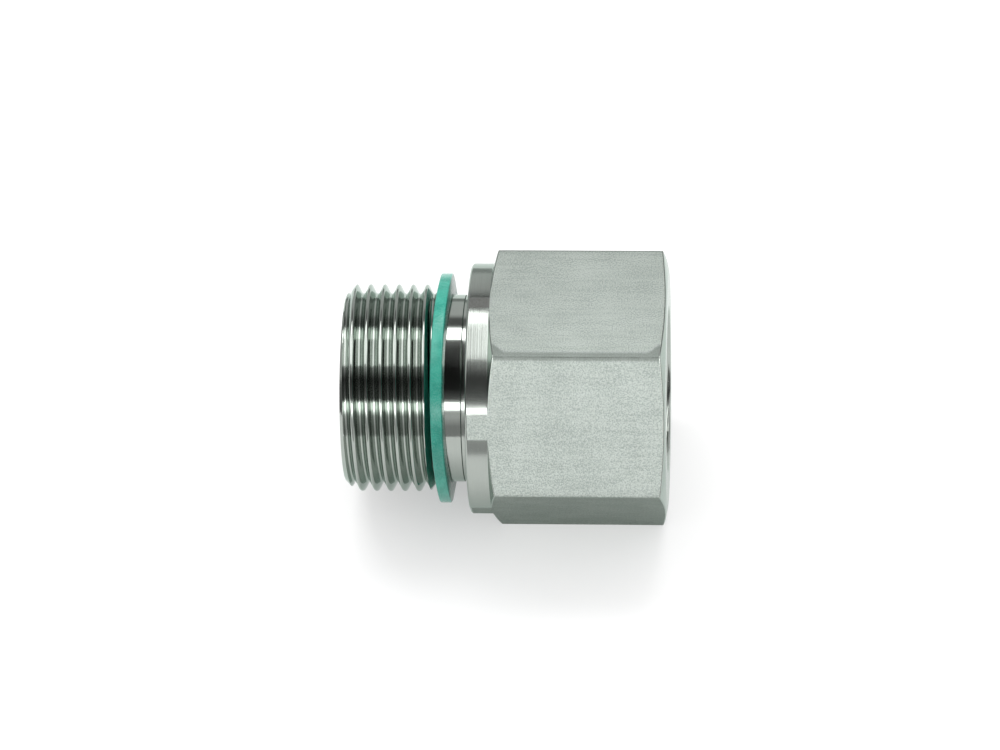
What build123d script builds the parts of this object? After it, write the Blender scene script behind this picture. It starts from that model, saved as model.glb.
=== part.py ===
from build123d import *
import math
import os

# Reducer bushing with a captive seal ring. Each piece is drawn upright about Z, stud down, and then laid along
# X on one flat of its hexagon, with the stud towards -X and the threaded port towards +X. The origin is on the
# axis, at the collar's sealing face.

# Stud with its outside pipe thread, a right-hand Whitworth form
stud_length = 16.0
stud_major_d = 26.441
stud_pitch = 1.814
flank_angle = 27.5
depth_per_pitch = 0.640327
flat_per_pitch = 1 / 6
tip_below_root = 0.06
groove_start_turn = 30.0
groove_lead_in = 1.16
groove_run_out = 1.1
groove_overcut = 0.1

# Undercut neck between the thread and the collar
neck_length = 4.4
neck_d = 23.9
thread_end_slope = 0.85
relief_width = 0.8
relief_depth = 0.15

# Collar and hexagon
collar_d = 32.0
collar_length = 2.8
collar_edge = 0.2
hex_across_flats = 31.8
hex_reach = 25.0
hex_end_d = 30.4
collar_side_bevel = 17.5
port_side_bevel = 11.6

# Port with the core of its inside pipe thread, and the bore behind it
port_core_d = 18.631
port_depth = 18.0
port_mouth_d = 21.4
drill_point_angle = 118.0
bore_d = 16.0
bore_edge = 0.5

# Seal ring, loose on the neck and leaning on it
seal_d = 29.3
seal_thickness = 1.5
seal_edge = 0.15
seal_lean = 3.2
seal_lean_turn = 222.5
seal_neck_gap = 0.03
seal_thread_gap = 0.08
seal_recess_gap = 0.15
seal_proud = 0.5

# Sizes that follow from the others
stud_r = stud_major_d / 2
thread_depth = depth_per_pitch * stud_pitch
root_r = stud_r - thread_depth
tip_r = root_r - tip_below_root
neck_r = neck_d / 2
lean_sine = math.sin(math.radians(seal_lean))
lean_cosine = math.cos(math.radians(seal_lean))
seal_bore_r = (neck_r + seal_neck_gap + seal_thickness / 2 * lean_sine) / lean_cosine
recess_depth = seal_thickness - seal_proud
recess_r = seal_d / 2 + seal_recess_gap
bar_corner_r = hex_across_flats / math.sqrt(3)


def turned(*outline):
    """A turned form: the closed outline, each point a radius and a height, revolved about Z."""
    return revolve(Plane.XZ * make_face(Polyline(*outline, close=True)), Axis.Z)


def outside_form():
    """Stud, neck, collar and the hexagon's length with a bevel at each end."""
    over_r = bar_corner_r + 1
    collar_r = collar_d / 2
    end_r = hex_end_d / 2
    rise = (over_r - collar_r) * math.tan(math.radians(collar_side_bevel))
    fall = (over_r - end_r) * math.tan(math.radians(port_side_bevel))
    return turned(
        (0, -stud_length),
        (tip_r, -stud_length),
        (stud_r, -stud_length + stud_r - tip_r),
        (stud_r, -neck_length - thread_end_slope),
        (neck_r, -neck_length),
        (neck_r, 0),
        (collar_r - collar_edge, 0),
        (collar_r, collar_edge),
        (collar_r, collar_length),
        (over_r, collar_length + rise),
        (over_r, hex_reach - fall),
        (end_r, hex_reach),
        (0, hex_reach),
    )


def hexagon_bar():
    """The bar that the body is cut from, turned so that it comes to lie on a flat."""
    section = RegularPolygon(hex_across_flats / 2, 6, major_radius=False, rotation=30)
    return Pos(0, 0, -stud_length) * extrude(section, stud_length + hex_reach)


def seal_recess():
    """Square groove that takes the ring, cut into the collar's face and a little into the neck beside it."""
    relief_r = neck_r - relief_depth
    return turned(
        (relief_r, -relief_width),
        (recess_r, -relief_width),
        (recess_r, recess_depth),
        (relief_r, recess_depth),
    )


def through_bore():
    """Countersunk port, core of its thread, drill point, and the bore that leaves at the stud's end."""
    core_r = port_core_d / 2
    bore_r = bore_d / 2
    mouth_r = port_mouth_d / 2
    port_floor = hex_reach - port_depth
    point = (core_r - bore_r) / math.tan(math.radians(drill_point_angle / 2))
    return turned(
        (0, -stud_length),
        (bore_r + bore_edge, -stud_length),
        (bore_r, -stud_length + bore_edge),
        (bore_r, port_floor - point),
        (core_r, port_floor),
        (core_r, hex_reach - mouth_r + core_r),
        (mouth_r, hex_reach),
        (0, hex_reach),
    )


def thread_groove():
    """Groove of the outside thread: a V with a flat root, carried along a helix past both ends of the thread."""
    start = -stud_length - groove_lead_in * stud_pitch
    end = -neck_length + groove_run_out * stud_pitch
    helix = Helix(pitch=stud_pitch, height=end - start, radius=root_r, center=(0, 0, start))
    root = flat_per_pitch * stud_pitch / 2
    height = thread_depth + groove_overcut
    mouth = root + height * math.tan(math.radians(flank_angle))
    outline = Polygon((0, -root), (height, -mouth), (height, mouth), (0, root), align=None)
    section = Plane(origin=helix @ 0, x_dir=(1, 0, 0), z_dir=(0, -1, 0)) * outline
    return Rot(0, 0, groove_start_turn) * sweep(section, path=helix, is_frenet=True)


def reducer_body():
    """The body, one piece: turned and bored from hexagon bar, with its stud threaded last."""
    blank = outside_form() & hexagon_bar()
    return blank - seal_recess() - through_bore() - thread_groove()


def seal_ring():
    """The ring, square in section, leaning on the neck with one side close to the end of the thread."""
    section = Pos(seal_bore_r, 0) * Rectangle(
        seal_d / 2 - seal_bore_r, seal_thickness, align=(Align.MIN, Align.MIN)
    )
    section = Plane.XZ * chamfer(section.vertices(), seal_edge)
    place = -neck_length + seal_thread_gap + seal_bore_r * lean_sine
    lean = Rot(0, 0, seal_lean_turn) * Rot(0, seal_lean, 0)
    return Pos(0, 0, place) * lean * revolve(section, Axis.Z)


lay_down = Rot(0, 90, 0)
os.makedirs("parts", exist_ok=True)
export_step(lay_down * reducer_body(), "parts/reducer_body.step")
export_step(lay_down * seal_ring(), "parts/seal_ring.step")
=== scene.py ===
import math
import bpy
import bmesh
import numpy as np
from mathutils import Matrix, Vector


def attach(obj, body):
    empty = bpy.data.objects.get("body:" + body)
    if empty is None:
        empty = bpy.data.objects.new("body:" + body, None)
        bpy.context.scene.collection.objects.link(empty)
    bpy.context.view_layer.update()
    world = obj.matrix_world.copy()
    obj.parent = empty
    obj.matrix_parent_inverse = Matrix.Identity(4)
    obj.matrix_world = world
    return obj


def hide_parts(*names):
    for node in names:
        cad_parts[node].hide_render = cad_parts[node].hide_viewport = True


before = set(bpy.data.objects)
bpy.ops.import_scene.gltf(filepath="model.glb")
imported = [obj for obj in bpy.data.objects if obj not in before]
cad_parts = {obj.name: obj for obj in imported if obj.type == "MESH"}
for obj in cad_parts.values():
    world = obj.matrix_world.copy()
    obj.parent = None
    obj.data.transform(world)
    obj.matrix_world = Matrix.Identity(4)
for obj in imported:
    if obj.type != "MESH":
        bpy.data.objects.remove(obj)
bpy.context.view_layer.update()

# Reducer bushing with a captive seal ring, lying on one flat of its hexagon. Lengths are in millimetres
# until a mesh is made, and X runs along the fitting from the stud to the port.
MM = 0.001

# Pipe thread, 14 turns to the inch: pitch, depth, the rounding of its crests and roots, and its flanks' angle
PITCH = 1.814
THREAD_DEPTH = 0.640327 * PITCH
THREAD_ROUND = 0.137329 * PITCH
FLANK = math.radians(27.5)

# Stud and neck. One crest of the thread lies at STUD_CREST in the direction STUD_CREST_TURN
STUD_END = -16.0
STUD_TIP_R = 12.0
STUD_R = 13.2205
STUD_CREST = -14.869
STUD_CREST_TURN = math.radians(42.534)
SLOPE_START = -5.25
NECK_START = -4.4
NECK_R = 11.95
RELIEF_START = -0.8
RELIEF_SLOPE = 0.05
RELIEF_R = 11.8
RECESS_R = 14.8
RECESS_DEPTH = 1.0

# Collar and hexagon. The collar is turned off centre: its radius is less by up to COLLAR_RUNOUT on the side
# opposite COLLAR_RUNOUT_TURN
COLLAR_R = 16.0
COLLAR_RUNOUT = 0.076
COLLAR_RUNOUT_TURN = math.radians(240)
COLLAR_EDGE = 0.22
COLLAR_END = 2.8
FLAT_R = 15.9
PORT_FACE = 25.0
PORT_FACE_R = 15.2
COLLAR_BEVEL = math.tan(math.radians(17.5))
PORT_BEVEL = math.tan(math.radians(11.6))
BAR_ROUND = 0.35
FLAT_HALF = FLAT_R * math.tan(math.pi / 6)
MIDDLE_OF_BAR = (COLLAR_END + PORT_FACE) / 2
HALF_BAR = (PORT_FACE - COLLAR_END) / 2

# Port and bore
MOUTH_R = 10.7
CORE_R = 9.3155
PORT_THREAD_END = 10.0
PORT_FLOOR = 7.0
DRILL_POINT = math.radians(59)
BORE_R = 8.0
BORE_EDGE = 0.5

# Seal ring. Its bow starts and is full at these shares of the half turn
SEAL_R = 14.65
SEAL_BORE_R = 12.0407
SEAL_THICKNESS = 1.5
SEAL_EDGE = 0.22
SEAL_PLACE = -3.648
SEAL_LEAN = math.radians(3.2)
SEAL_LEAN_TURN = math.radians(132.5)
SEAL_BOW = 0.8
SEAL_BOW_START = 0.33
SEAL_BOW_FULL = 0.69

# Fineness of the meshes: rows on each rounding and each flank of the threads, the ring's columns, and the
# steps of a softened corner's curve
STUD_ROWS = (6, 5)
PORT_ROWS = (4, 4)
SEAL_COLUMNS = 193
CURVE_STEPS = (0, 0.25, 0.5, 0.75, 1)

# How close to the hexagon's own surface a face lies that belongs to a flat
ON_FLAT = 1e-3

# Painted shade along the edges of the top flat: its width, how much wider it is at both ends, and its
# strength
EDGE_SHADE_WIDTH = 1.05
EDGE_SHADE_WIDENING = 1.5
EDGE_SHADE_STRENGTH = 0.62

# Colours of the steel flats, of the painted shade along their top flat's edges and of their scuffed strip, of
# the turned steel, and of the ring with its painted sheen where seen edge on
FLAT_DARK, FLAT_PALE = (0.29, 0.328, 0.302), (0.47, 0.512, 0.48)
PAINTED_EDGE_SHADE = (0.13, 0.15, 0.135)
SCUFF = (0.12, 0.12, 0.115)
TURNED_DARK, TURNED_PALE = (0.33, 0.36, 0.335), (0.41, 0.44, 0.41)
SEAL_DARK, SEAL_LIGHT = (0.022, 0.245, 0.185), (0.036, 0.305, 0.230)
# Painted sheen of the ring where it is seen edge on
SEAL_PAINTED_SHEEN = (0.40, 0.52, 0.46)


# Shader arithmetic
class Value:
    """A node's output. Arithmetic on it adds Math nodes to the same tree."""

    def __init__(self, shader, socket):
        self.shader, self.socket = shader, socket

    def maths(self, operation, *others):
        """A Math node on this value and the others."""
        inputs = dict(enumerate((self, *others)))
        return self.shader.node("ShaderNodeMath", {"operation": operation}, inputs)

    def __add__(self, other): return self.maths("ADD", other)
    def __radd__(self, other): return self.maths("ADD", other)
    def __sub__(self, other): return self.maths("SUBTRACT", other)
    def __rsub__(self, other): return -self + other
    def __mul__(self, other): return self.maths("MULTIPLY", other)
    def __truediv__(self, other): return self.maths("DIVIDE", other)
    def __pow__(self, other): return self.maths("POWER", other)
    def __neg__(self): return self * -1.0
    def __abs__(self): return self.maths("ABSOLUTE")


class Shader:
    """A node tree under construction: node() makes any node, and the other calls name the usual ones."""

    def __init__(self, owner):
        owner.use_nodes = True
        self.tree = owner.node_tree
        self.tree.nodes.clear()

    def node(self, kind, settings=None, inputs=None, out=0):
        """Makes a node and gives it its settings (a ramp's grey stops among them), then its sockets' values
        or links."""
        made = self.tree.nodes.new(kind)
        for name, setting in (settings or {}).items():
            if name == "stops":
                ramp = made.color_ramp
                while len(ramp.elements) < len(setting):
                    ramp.elements.new(0.5)
                for element, (place, level) in zip(ramp.elements, setting):
                    element.position = place
                    element.color = (level, level, level, 1.0)
            else:
                setattr(made, name, setting)
        for name, value in (inputs or {}).items():
            if isinstance(value, Value):
                self.tree.links.new(value.socket, made.inputs[name])
            else:
                made.inputs[name].default_value = value
        return Value(self, made.outputs[out])

    def place_mm(self):
        """Object coordinates in millimetres."""
        here = self.node("ShaderNodeTexCoord", out=3)
        return self.node("ShaderNodeVectorMath", {"operation": "SCALE"}, {0: here, "Scale": 1 / MM})

    def parts(self, vector):
        """The three components of a vector."""
        first = self.node("ShaderNodeSeparateXYZ", inputs={0: vector})
        return [Value(self, output) for output in first.socket.node.outputs]

    def join(self, x, y, z):
        """A vector from its three components."""
        return self.node("ShaderNodeCombineXYZ", inputs={0: x, 1: y, 2: z})

    def noise(self, vector, scale, detail=2.0, roughness=0.5):
        """Fractal noise between 0 and 1. The scale is in features to the millimetre."""
        inputs = {"Vector": vector, "Scale": scale, "Detail": detail, "Roughness": roughness}
        return self.node("ShaderNodeTexNoise", inputs=inputs)

    def fade(self, value, low, high):
        """0 below low, 1 above high, and a smooth step between."""
        inputs = {0: value, 1: low, 2: high}
        return self.node("ShaderNodeMapRange", {"interpolation_type": "SMOOTHSTEP"}, inputs)

    def blend(self, factor, first, second):
        """A colour between two, by a factor. The Mix node takes colours at inputs 6 and 7 and gives one at
        output 2."""
        ends = (first, second)
        first, second = ((*colour, 1.0) if isinstance(colour, tuple) else colour for colour in ends)
        return self.node("ShaderNodeMix", {"data_type": "RGBA"}, {0: factor, 6: first, 7: second}, out=2)

    def ramp(self, value, *stops):
        """A grey level by a value between 0 and 1, through stops of a place and a level."""
        return self.node("ShaderNodeValToRGB", {"stops": stops}, {0: value})

    def bump(self, height, strength, depth_mm):
        """A normal bent by a height."""
        inputs = {"Height": height, "Strength": strength, "Distance": depth_mm * MM}
        return self.node("ShaderNodeBump", inputs=inputs)

    def finish(self, surface, kind="ShaderNodeOutputMaterial"):
        """Links the last node to the output."""
        output = self.tree.nodes.new(kind)
        self.tree.links.new(surface.socket, output.inputs["Surface"])


def finish_of(name, build):
    """A material whose Principled sockets are what build(shader) returns."""
    material = bpy.data.materials.new(name)
    shader = Shader(material)
    shader.finish(shader.node("ShaderNodeBsdfPrincipled", inputs=build(shader)))
    return material


def milled_flats(s):
    """Matt hexagon bar: fine pale grain, soft blotches and faint drawing streaks along X. The top flat has
    painted shade along both its edges, in a band wider towards both ends, and is scuffed where it just
    touches the collar."""
    here = s.place_mm()
    x, y, z = s.parts(here)
    grain = s.noise(here, scale=5.6, roughness=0.6)
    blotch = s.noise(here, scale=0.25)
    streak = s.noise(s.join(x * 0.10, y, z), scale=1.8)
    tone = grain * 0.72 + blotch * 0.14 + streak * 0.14
    steel = s.blend(s.fade(tone, 0.36, 0.64), FLAT_DARK, FLAT_PALE)
    on_top = s.fade(z, FLAT_R - 0.6, FLAT_R - 0.3)
    near_end = s.fade(abs(x - MIDDLE_OF_BAR), HALF_BAR - 2.4, HALF_BAR - 0.3)
    # Painted shade: a darker band along both edges of the top flat only, wider towards its ends
    edge_shade_start = FLAT_HALF - EDGE_SHADE_WIDTH - near_end * EDGE_SHADE_WIDENING
    edge_shade = s.fade(-y, edge_shade_start, edge_shade_start + 0.6) + s.fade(y, FLAT_HALF - 0.3, FLAT_HALF - 0.1) * 0.6
    steel = s.blend(edge_shade * on_top * EDGE_SHADE_STRENGTH, steel, PAINTED_EDGE_SHADE)
    scuffed = on_top * s.fade(x, COLLAR_END + 0.1, COLLAR_END - 0.1)
    return {
        "Base Color": s.blend(scuffed * (0.4 + grain), steel, SCUFF),
        "Metallic": 1.0,
        "Roughness": 0.38 + grain * 0.16,
        "Specular Tint": (0.20, 0.23, 0.21, 1.0),
        "Normal": s.bump(grain, 0.6, 0.04),
    }


def turned_steel(s):
    """Turned steel: fine rings round the axis, in tone, in gloss and in height, coarser on the collar and
    beyond it than on the neck and the thread."""
    here = s.place_mm()
    x, y, z = s.parts(here)
    radius = (y * y + z * z) ** 0.5
    rings = s.noise(s.join(x, radius, 0.0), scale=9.0)
    cloud = s.noise(here, scale=0.6)
    coarse = s.fade(x, -0.6, -0.4)
    return {
        "Base Color": s.blend(rings * 0.6 + cloud * 0.4, TURNED_DARK, TURNED_PALE),
        "Metallic": 1.0,
        "Specular Tint": (0.72, 0.80, 0.76, 1.0),
        "Roughness": 0.05 + rings * 0.05 + cloud * 0.03 + coarse * 0.08,
        "Normal": s.bump(rings, 0.07 + coarse * 0.28, 0.02),
    }


def seal_rubber(s):
    """Green elastomer: satin, with a faint mottle and moulding grain, and a painted sheen: paler where seen
    edge on.
    """
    here = s.place_mm()
    mottle = s.noise(here, scale=0.8, detail=3.0)
    grain = s.noise(here, scale=7.0)
    facing = s.node("ShaderNodeLayerWeight", inputs={"Blend": 0.5}, out=1)
    green = s.blend(s.fade(mottle, 0.3, 0.7), SEAL_DARK, SEAL_LIGHT)
    return {
        # Painted sheen: the base colour turns paler where the ring is seen edge on
        "Base Color": s.blend(s.fade(facing, 0.82, 0.96) * 0.6, green, SEAL_PAINTED_SHEEN),
        "Roughness": 0.22 + grain * 0.10,
        "Normal": s.bump(grain, 0.12, 0.02),
    }


# Meshes
def make_piece(name, points, faces, slots, materials):
    """A mesh object at the origin from points in millimetres, with coincident points merged, each face's
    material slot, faces turned outwards, and edges sharper than 30 degrees left crisp."""
    mesh = bpy.data.meshes.new(name)
    mesh.from_pydata((points * MM).tolist(), [], faces.tolist())
    for material in materials:
        mesh.materials.append(material)
    mesh.polygons.foreach_set("material_index", slots.astype(np.int32))
    work = bmesh.new()
    work.from_mesh(mesh)
    bmesh.ops.remove_doubles(work, verts=work.verts, dist=1e-7)
    if work.calc_volume(signed=True) < 0:
        bmesh.ops.reverse_faces(work, faces=work.faces)
    work.to_mesh(mesh)
    work.free()
    mesh.shade_smooth()
    mesh.set_sharp_from_angle(angle=math.radians(30))
    piece = bpy.data.objects.new(name, mesh)
    bpy.context.scene.collection.objects.link(piece)
    return piece


def grid_faces(rows, columns, closed):
    """Four-sided faces of a grid of points numbered row by row. If closed, the last row meets the first."""
    row = np.arange(rows if closed else rows - 1)[:, None]
    column = np.arange(columns - 1)[None, :]
    here, after = row * columns + column, (row + 1) % rows * columns + column
    return np.stack([here, after, after + 1, here + 1], -1).reshape(-1, 4)


def around(x, r, turn):
    """Points at a place x along the axis and a radius r, in the direction turn from +Y towards +Z."""
    return np.stack([x, r * np.cos(turn), r * np.sin(turn)], -1)


def bar_turns():
    """Directions of the columns, the last of which closes the turn: close together at the hexagon's rounded
    corners, one at each side of the strip that a flat cuts off the collar, and even between."""
    tangent = corner_tangent()
    cut = math.pi / 6 - math.acos(FLAT_R / COLLAR_R)
    half = np.concatenate([
        np.linspace(0, tangent, 5),
        np.linspace(tangent, cut, 10)[1:],
        np.linspace(cut, math.pi / 6, 5)[1:],
    ])
    sixth = np.concatenate([half, math.pi / 3 - half[-2:0:-1]])
    turns = (np.arange(6)[:, None] * math.pi / 3 + sixth[None, :]).ravel()
    return np.append(turns, 2 * math.pi)


def corner_tangent():
    """Angle from a corner of the hexagon to the place where its rounding meets the flat."""
    centre = (FLAT_R - BAR_ROUND) / math.cos(math.pi / 6)
    return math.atan2(BAR_ROUND / 2, centre + BAR_ROUND * math.cos(math.pi / 6))


def bar_radius(turn):
    """Radius of a hexagon with rounded corners, by direction: the flat's distance over the cosine of the
    angle from its middle, or near a corner the far side of a circle tangent to both flats."""
    from_corner = np.abs((turn + math.pi / 6) % (math.pi / 3) - math.pi / 6)
    centre = (FLAT_R - BAR_ROUND) / math.cos(math.pi / 6)
    across = centre * np.sin(from_corner)
    arc = centre * np.cos(from_corner) + np.sqrt(np.maximum(BAR_ROUND**2 - across**2, 0))
    flat = FLAT_R / np.cos(math.pi / 6 - from_corner)
    return np.where(from_corner < corner_tangent(), arc, flat)


def thread_section(rows_round, rows_flank):
    """One pitch of the rounded thread form, from one crest to the next: places along the axis, and depths
    below the crest. An arc over the crest, a straight flank, an arc round the root, and the same mirrored."""
    swing = np.linspace(0, math.pi / 2 - FLANK, rows_round)
    arc_x, arc_drop = THREAD_ROUND * np.sin(swing), THREAD_ROUND * (1 - np.cos(swing))
    share = np.linspace(0, 1, rows_flank + 1)[1:-1]
    root_x, root_drop = PITCH / 2 - arc_x[::-1], THREAD_DEPTH - arc_drop[::-1]
    flank_x = arc_x[-1] + share * (root_x[0] - arc_x[-1])
    flank_drop = arc_drop[-1] + share * (root_drop[0] - arc_drop[-1])
    x = np.concatenate([arc_x, flank_x, root_x])
    drop = np.concatenate([arc_drop, flank_drop, root_drop])
    return np.concatenate([x, PITCH - x[-2:0:-1]]), np.concatenate([drop, drop[-2:0:-1]])


def thread_rows(turn, crest, crest_turn, low, high, rows_round, rows_flank):
    """Rows that run along a right-hand thread: the section repeated along X, each column moved on by its
    share of the pitch, and held between the two ends. Gives places and depths below the crest."""
    x, drop = thread_section(rows_round, rows_flank)
    start = crest - crest_turn / (2 * math.pi) * PITCH
    first = math.floor((low - start) / PITCH) - 1
    count = math.ceil((high - low) / PITCH) + 3
    places = (start + (first + np.arange(count))[:, None] * PITCH + x[None, :]).ravel()
    moved = places[:, None] + turn[None, :] / (2 * math.pi) * PITCH
    return np.clip(moved, low, high), np.tile(drop, count)[:, None] + 0 * moved


def stud_thread(turn):
    """Outside thread: the lowest of the thread's surface, the tip's chamfer and the slope to the neck."""
    x, drop = thread_rows(turn, STUD_CREST, STUD_CREST_TURN, STUD_END, NECK_START, *STUD_ROWS)
    chamfer = STUD_TIP_R + (x - STUD_END)
    slope = NECK_R + (NECK_START - x) * (STUD_R - NECK_R) / (NECK_START - SLOPE_START)
    return x, np.minimum(np.minimum(STUD_R - drop, chamfer), slope)


def port_thread(turn):
    """Inside thread, from the mouth inwards: the higher of the mouth's countersink and the thread, which
    fades into the core over its last turn."""
    x, drop = thread_rows(turn, PORT_FACE, 0.0, PORT_THREAD_END, PORT_FACE, *PORT_ROWS)
    depth = (THREAD_DEPTH - drop) * np.clip((x - PORT_THREAD_END) / PITCH, 0, 1)
    countersink = MOUTH_R - (PORT_FACE - x)
    return x[::-1], np.maximum(CORE_R + depth, countersink)[::-1]


def softened(corners, turn):
    """Rows of a turned outline of corners (place, radius, setback). A corner with a setback becomes a short
    curve: a parabola between the points that far back along its two sides, at each column."""
    full = [np.stack([x + 0 * turn, r + 0 * turn], -1) for x, r, _ in corners]
    rows = [full[0]]
    for before, here, after, (_, _, setback) in zip(full, full[1:], full[2:], corners[1:]):
        if not setback:
            rows.append(here)
            continue
        back, on = before - here, after - here
        back_length = np.maximum(np.linalg.norm(back, axis=-1, keepdims=True), 1e-9)
        on_length = np.maximum(np.linalg.norm(on, axis=-1, keepdims=True), 1e-9)
        reach = np.minimum(setback, 0.45 * np.minimum(back_length, on_length))
        start, end = here + back / back_length * reach, here + on / on_length * reach
        rows += [(1 - t) ** 2 * start + 2 * t * (1 - t) * here + t * t * end for t in CURVE_STEPS]
    return np.array(rows + [full[-1]])


def body_piece(materials):
    """The whole body as one closed surface: rows follow its outline from the stud's end over thread, neck,
    collar and hexagon, in through the port and back along the bore; columns go round the axis."""
    turn = bar_turns()
    bar = bar_radius(turn)
    runout = COLLAR_RUNOUT * np.minimum(0, np.cos(turn - COLLAR_RUNOUT_TURN))
    collar = np.minimum(COLLAR_R + runout, bar)
    over = np.maximum(bar, COLLAR_R)
    tip = np.array([np.stack([x + 0 * turn, r + 0 * turn], -1) for x, r in (
        (STUD_END + BORE_EDGE, BORE_R), (STUD_END, BORE_R + BORE_EDGE))])
    outside = softened([
        (NECK_START, NECK_R, 0),
        (RELIEF_START, NECK_R, 0.04),
        (RELIEF_START + RELIEF_SLOPE, RELIEF_R, 0.04),
        (RECESS_DEPTH, RELIEF_R, 0.1),
        (RECESS_DEPTH, RECESS_R, 0.1),
        (0.0, RECESS_R, 0.08),
        (0.0, collar - COLLAR_EDGE, 0.05),
        (COLLAR_EDGE, collar, 0.05),
        (COLLAR_END, collar, 0.06),
        (COLLAR_END + (over - COLLAR_R) * COLLAR_BEVEL, bar, 0.12),
        (PORT_FACE - (bar - PORT_FACE_R) * PORT_BEVEL, bar, 0.12),
        (PORT_FACE, PORT_FACE_R, 0.1),
        (PORT_FACE, MOUTH_R, 0),
    ], turn)
    inside = softened([
        (PORT_THREAD_END, CORE_R, 0),
        (PORT_FLOOR, CORE_R, 0.1),
        (PORT_FLOOR - (CORE_R - BORE_R) / math.tan(DRILL_POINT), BORE_R, 0.1),
        (STUD_END + BORE_EDGE, BORE_R, 0),
    ], turn)
    stud = np.stack(stud_thread(turn), -1)
    port = np.stack(port_thread(turn), -1)
    rows = np.concatenate([tip, stud, outside, port, inside[:-1]])
    points = around(rows[..., 0], rows[..., 1], turn[None, :])
    faces = grid_faces(len(rows), len(turn), closed=True)
    ahead = np.roll(rows, -1, axis=0)
    place = (rows[:, :-1, 0] + ahead[:, :-1, 0]) / 2
    reach = (rows[:, :-1, 1] + ahead[:, :-1, 1] + rows[:, 1:, 1] + ahead[:, 1:, 1]) / 4
    on_bar = (bar[:-1] + bar[1:]) / 2
    flat = (np.abs(reach - on_bar[None, :]) < ON_FLAT) & (place > 0)
    return make_piece("reducer_body_steel", points.reshape(-1, 3), faces, flat.ravel().astype(int), materials)


def eased(value, low, high):
    """0 below low, 1 above high, and a smooth step between, for numbers."""
    share = np.clip((value - low) / (high - low), 0, 1)
    return share * share * (3 - 2 * share)


def seal_piece(materials):
    """The ring: a rectangle with rounded edges carried round the axis. It leans towards the thread at turn 0,
    and the opposite side is bowed the same way."""
    turn = np.linspace(0, 2 * math.pi, SEAL_COLUMNS)
    corners = [
        (SEAL_THICKNESS / 2, SEAL_BORE_R, 0),
        (SEAL_THICKNESS, SEAL_BORE_R, SEAL_EDGE),
        (SEAL_THICKNESS, SEAL_R, SEAL_EDGE),
        (0.0, SEAL_R, SEAL_EDGE),
        (0.0, SEAL_BORE_R, SEAL_EDGE),
        (SEAL_THICKNESS / 2, SEAL_BORE_R, 0),
    ]
    rows = softened(corners, turn)[:-1]
    points = around(rows[..., 0], rows[..., 1], turn[None, :]).reshape(-1, 3)
    lean = np.array(Matrix.Rotation(SEAL_LEAN_TURN, 3, "X") @ Matrix.Rotation(SEAL_LEAN, 3, "Z"))
    points = points @ lean.T + np.array([SEAL_PLACE, 0, 0])
    away = 1 - np.abs(turn / math.pi - 1)
    points[:, 0] -= SEAL_BOW * np.tile(eased(away, SEAL_BOW_START, SEAL_BOW_FULL), len(rows))
    faces = grid_faces(len(rows), len(turn), closed=True)
    return make_piece("seal_ring_rubber", points, faces, np.zeros(len(faces)), materials)


body = body_piece([finish_of("turned_steel", turned_steel), finish_of("milled_flats", milled_flats)])
seal = seal_piece([finish_of("seal_rubber", seal_rubber)])
for piece, node, slot in ((body, "reducer_body", "steel"), (seal, "seal_ring", "seal")):
    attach(piece, "root")
    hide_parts(node)


# Studio: the dome's radius, how far below the middle it starts, and the range of angles that its bands span
DOME_R = 500
DOME_LOWEST = -28
BANDS_START = -30.0
BANDS_SPAN = 240.0

# Places along X where the dome's bands change over, and what its brightest bands give above the others
BANDS_ASIDE = (35.0, 75.0)
BANDS_AT_ENDS = (380.0, 440.0)
LAMP_LEVEL = 0.80
LAMP_GAIN = 4.2

# The floor's half length and its near and far edges, its two tones, and how much of its light is its own
# where it is seen
FLOOR_X = 95
FLOOR_NEAR, FLOOR_FAR = -85, 130
FLOOR_TONES = (0.90, 0.90, 0.90), (0.92, 0.92, 0.92)
FLOOR_GLOW = 0.42

# The sky's grey by height, where it only lights the object
SKY_STOPS = (0.0, 0.22), (0.55, 1.25)


def stage_sheet(name, points, faces, material):
    """A part of the studio: a mesh in millimetres that isn't part of the object."""
    mesh = bpy.data.meshes.new(name)
    mesh.from_pydata((np.asarray(points) * MM).tolist(), [], np.asarray(faces).tolist())
    mesh.materials.append(material)
    mesh.shade_smooth()
    sheet = bpy.data.objects.new(name, mesh)
    bpy.context.scene.collection.objects.link(sheet)
    return sheet


def seen_rays(s):
    """1 for rays that come from the camera or by a reflection or refraction, and 0 for others."""
    camera = s.node("ShaderNodeLightPath")
    outputs = camera.socket.node.outputs
    seen = camera + Value(s, outputs["Is Glossy Ray"]) + Value(s, outputs["Is Transmission Ray"])
    return seen.maths("MINIMUM", 1.0)


def pale_floor():
    """Plain pale floor with a barely uneven tone. Its shadow is softened where it is seen."""
    material = bpy.data.materials.new("pale_floor")
    s = Shader(material)
    tone = s.blend(s.noise(s.place_mm(), scale=0.02), *FLOOR_TONES)
    paper = s.node("ShaderNodeBsdfDiffuse", inputs={"Color": tone})
    white = s.node("ShaderNodeEmission", inputs={"Color": (1.0, 1.0, 1.0, 1.0), "Strength": 1.0})
    s.finish(s.node("ShaderNodeMixShader", inputs={0: seen_rays(s) * FLOOR_GLOW, 1: paper, 2: white}))
    return material


def bands(*stops):
    """A ramp's stops from angles in degrees and levels, over the range of angles that the ramp spans."""
    return [((degrees - BANDS_START) / BANDS_SPAN, level) for degrees, level in stops]


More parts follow.
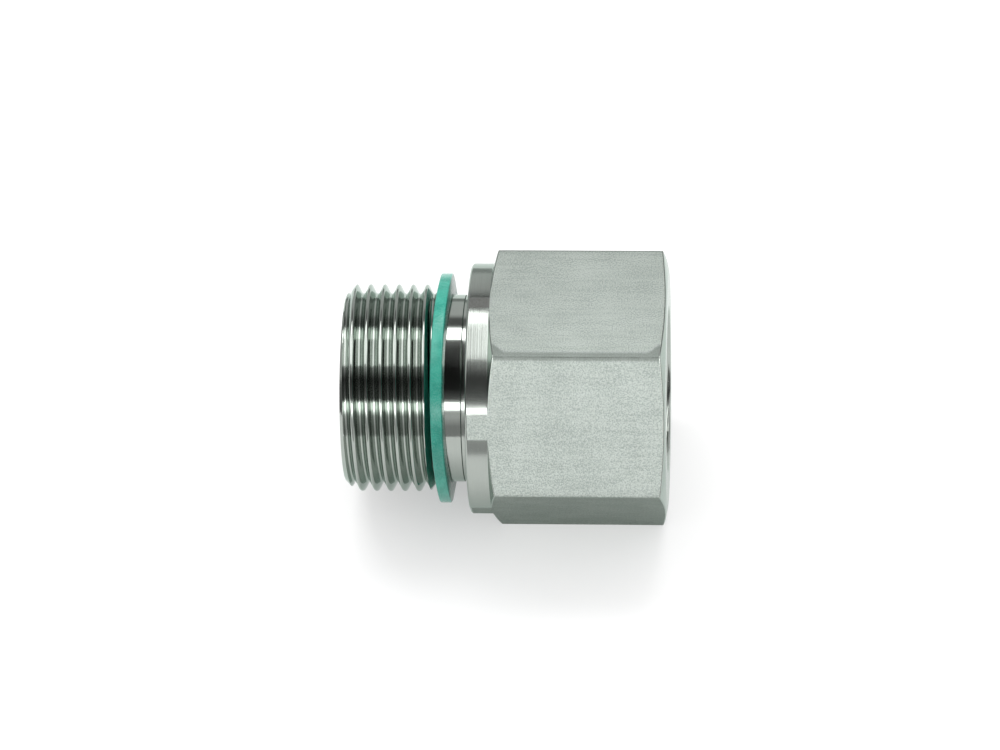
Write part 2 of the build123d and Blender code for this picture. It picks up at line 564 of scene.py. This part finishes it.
def dome_light(material):
    """Light dome round the object, seen only in reflections: bands by the angle round X, from the camera's
    side over the top to the back. One set is straight across the fitting, one a little aside, and one far
    to its ends."""
    s = Shader(material)
    x, y, z = s.parts(s.place_mm())
    angle = z.maths("ARCTAN2", -y) * (180 / math.pi)
    share = (angle - BANDS_START) / BANDS_SPAN
    across = s.ramp(share, *bands(
        (-30, 0.42), (0, 0.40), (12, 0.75), (18, 0.70), (22, 1.0), (29.5, 1.0), (34, 0.15), (46, 0.02),
        (72, 0.01), (98, 0.12), (107, 0.30), (109, 1.0), (125, 1.0), (130, 0.15), (141, 0.18), (149, 0.78),
        (207, 0.80)))
    aside = s.ramp(share, *bands(
        (-30, 0.45), (0, 0.60), (22, 1.0), (29, 1.0), (32, 0.20), (58, 0.06), (66, 0.30), (76, 0.90),
        (121, 0.90), (127, 0.25), (141, 0.30), (150, 0.55), (207, 0.95)))
    ends = s.ramp(share, *bands(
        (-30, 0.20), (24, 0.20), (30, 0.03), (80, 0.02), (95, 0.75), (140, 0.90), (150, 0.60), (207, 0.70)))
    level = s.blend(s.fade(abs(x), *BANDS_ASIDE), across, aside)
    level = s.blend(s.fade(abs(x), *BANDS_AT_ENDS), level, ends)
    bright = s.fade(s.node("ShaderNodeSeparateColor", inputs={0: level}), LAMP_LEVEL, 1.0)
    s.finish(s.node("ShaderNodeEmission", inputs={"Color": level, "Strength": 1.0 + bright * LAMP_GAIN}))


def make_dome():
    """The dome: a sphere's upper half and a little more, out of the camera's sight."""
    rows, columns = 60, 121
    lift = np.radians(np.linspace(DOME_LOWEST, 90, rows))
    turn = np.radians(np.linspace(0, 360, columns))
    height, around_z = np.meshgrid(lift, turn, indexing="ij")
    flat = DOME_R * np.cos(height)
    points = np.stack([flat * np.cos(around_z), flat * np.sin(around_z), DOME_R * np.sin(height)], -1)
    material = bpy.data.materials.new("dome")
    dome_light(material)
    dome = stage_sheet("light_dome", points.reshape(-1, 3), grid_faces(rows, columns, closed=False), material)
    dome.visible_camera = dome.visible_diffuse = dome.visible_shadow = False


near = [(-FLOOR_X, FLOOR_NEAR, -FLAT_R), (FLOOR_X, FLOOR_NEAR, -FLAT_R)]
far = [(FLOOR_X, FLOOR_FAR, -FLAT_R), (-FLOOR_X, FLOOR_FAR, -FLAT_R)]
stage_sheet("floor", near + far, [(0, 1, 2, 3)], pale_floor())
make_dome()

world = bpy.context.scene.world or bpy.data.worlds.new("studio")
bpy.context.scene.world = world
world.cycles_visibility.glossy = False
sky = Shader(world)
height = sky.parts(sky.node("ShaderNodeTexCoord"))[2]
level = sky.blend(seen_rays(sky), sky.ramp(height, *SKY_STOPS), (1.0, 1.0, 1.0))
background = sky.node("ShaderNodeBackground", inputs={"Color": level, "Strength": 1.0})
sky.finish(background, "ShaderNodeOutputWorld")


def soft_lamp(name, place, size, watts):
    """An area lamp that faces the object, its place and size in metres."""
    lamp = bpy.data.lights.new(name, "AREA")
    lamp.shape, lamp.size, lamp.size_y, lamp.energy = "RECTANGLE", size[0], size[1], watts
    holder = bpy.data.objects.new(name, lamp)
    holder.location = place
    holder.rotation_euler = (-Vector(place)).to_track_quat("-Z", "Y").to_euler()
    holder.visible_glossy = holder.visible_camera = False
    bpy.context.scene.collection.objects.link(holder)


soft_lamp("overhead_lamp", place=(-0.05, 0.25, 0.50), size=(0.5, 0.3), watts=2.0)


# Camera, from a fit to the photograph's outlines: angles, distance, aim, and the focal length in pixels of a
# picture so many pixels wide
YAW, ROLL, TILT = math.radians(3.3512), math.radians(-0.3312), math.radians(47.466)
DISTANCE, AIM_RIGHT, AIM_UP = 636.794, -3.4888, -1.6641
FOCAL_PIXELS, PICTURE_PIXELS = 4987.144, 1000
along = Vector((1, 0, 0))
upward = Vector((0, math.sin(TILT), math.cos(TILT)))
towards = Vector((0, -math.cos(TILT), math.sin(TILT)))
back = along * math.sin(YAW) + towards * math.cos(YAW)
level_right = along * math.cos(YAW) - towards * math.sin(YAW)
right = level_right * math.cos(ROLL) - upward * math.sin(ROLL)
up = level_right * math.sin(ROLL) + upward * math.cos(ROLL)
camera = bpy.data.objects.new("camera", bpy.data.cameras.new("camera"))
camera.data.lens = FOCAL_PIXELS / PICTURE_PIXELS * camera.data.sensor_width
camera.data.clip_start, camera.data.clip_end = 0.01, 20.0
turned_axes = Matrix((right, up, back)).transposed().to_4x4()
place = back * DISTANCE - right * AIM_RIGHT - up * AIM_UP
camera.matrix_world = Matrix.Translation(place * MM) @ turned_axes
bpy.context.scene.collection.objects.link(camera)
bpy.context.scene.camera = camera
bpy.context.scene.view_settings.view_transform = "Standard"
